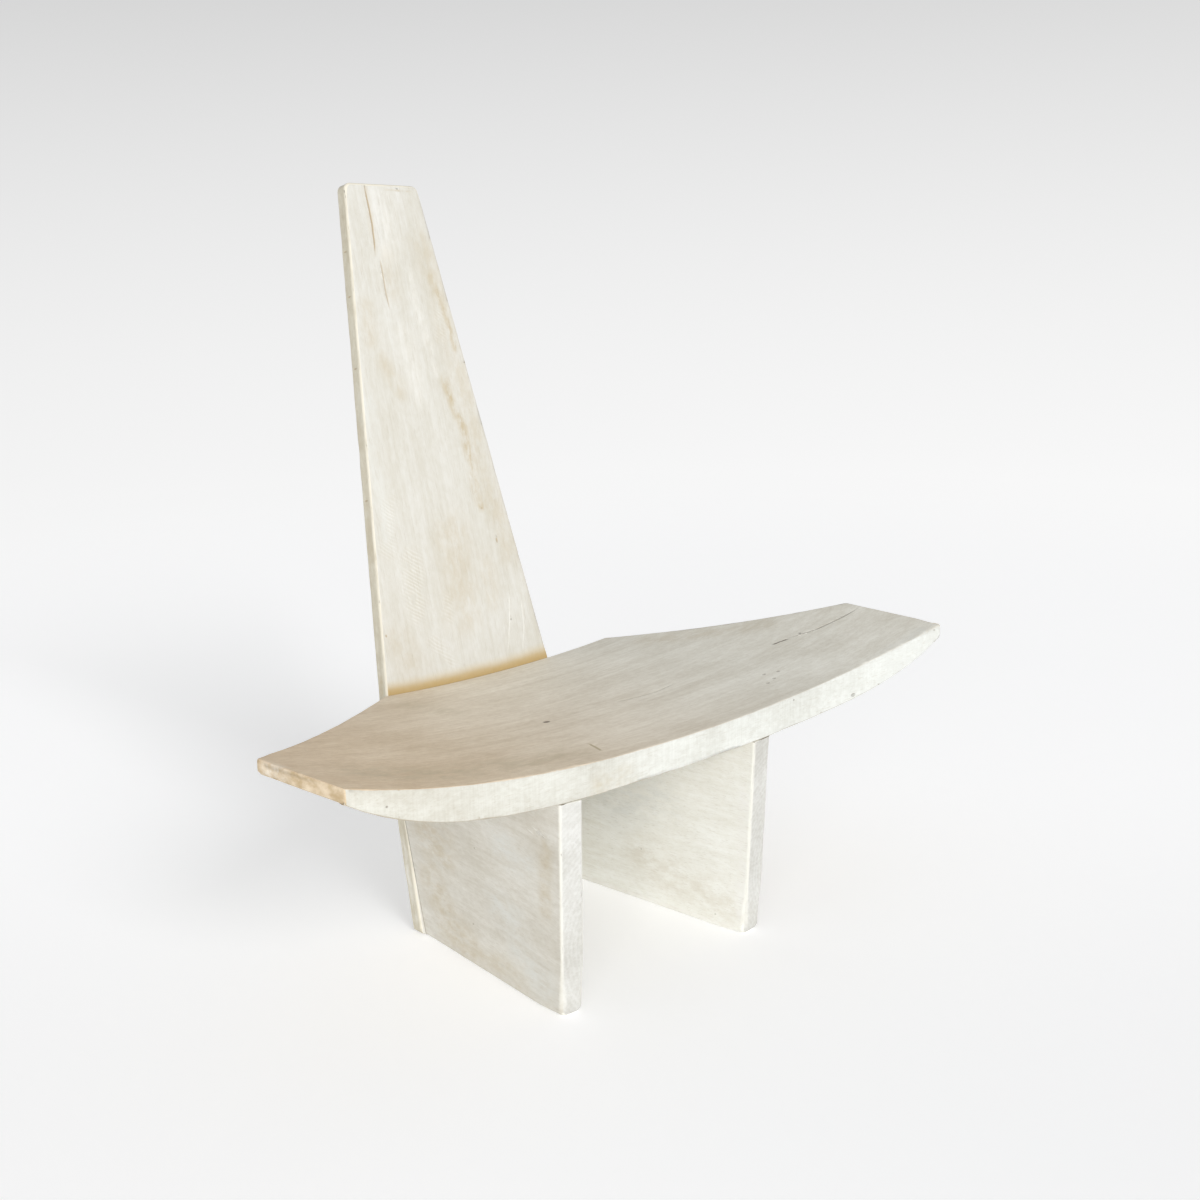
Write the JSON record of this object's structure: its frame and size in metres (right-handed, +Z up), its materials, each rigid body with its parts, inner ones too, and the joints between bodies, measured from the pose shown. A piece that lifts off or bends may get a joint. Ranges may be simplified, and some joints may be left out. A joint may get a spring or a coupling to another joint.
{
  "type": "slab lounge chair",
  "caption": "Low lounge chair of thick limed hardwood slabs: a long dished seat on toed-in legs, with a tall tapered plank back.",
  "frame": {"origin": "on the floor, under the middle of the chair's outer box", "axes": "+X to the right as seen from in front of the chair, +Y to its back, +Z up"},
  "size_m": [1.1636, 0.6809, 1.1315],
  "materials": {
    "limed_seat": "limed and waxed, matt",
    "limed_back": "limed, matt, with tool marks",
    "limed_legs": "limed, matt, with tool marks",
    "beech_dowels": "bare, smooth"
  },
  "bodies": {
    "root": {"seat_slab": "limed_seat", "back_plank": "limed_back", "left_leg": "limed_legs", "right_leg": "limed_legs", "left_leg_seat_dowel_1": "beech_dowels", "left_leg_seat_dowel_2": "beech_dowels", "left_leg_seat_dowel_3": "beech_dowels", "right_leg_seat_dowel_1": "beech_dowels", "right_leg_seat_dowel_2": "beech_dowels", "right_leg_seat_dowel_3": "beech_dowels", "left_leg_back_dowel_1": "beech_dowels", "left_leg_back_dowel_2": "beech_dowels", "left_leg_back_dowel_3": "beech_dowels", "right_leg_back_dowel_1": "beech_dowels", "right_leg_back_dowel_2": "beech_dowels", "right_leg_back_dowel_3": "beech_dowels", "seat_back_dowel_1": "beech_dowels", "seat_back_dowel_2": "beech_dowels", "seat_back_dowel_3": "beech_dowels", "seat_back_dowel_4": "beech_dowels"}
  },
  "joints": []
}
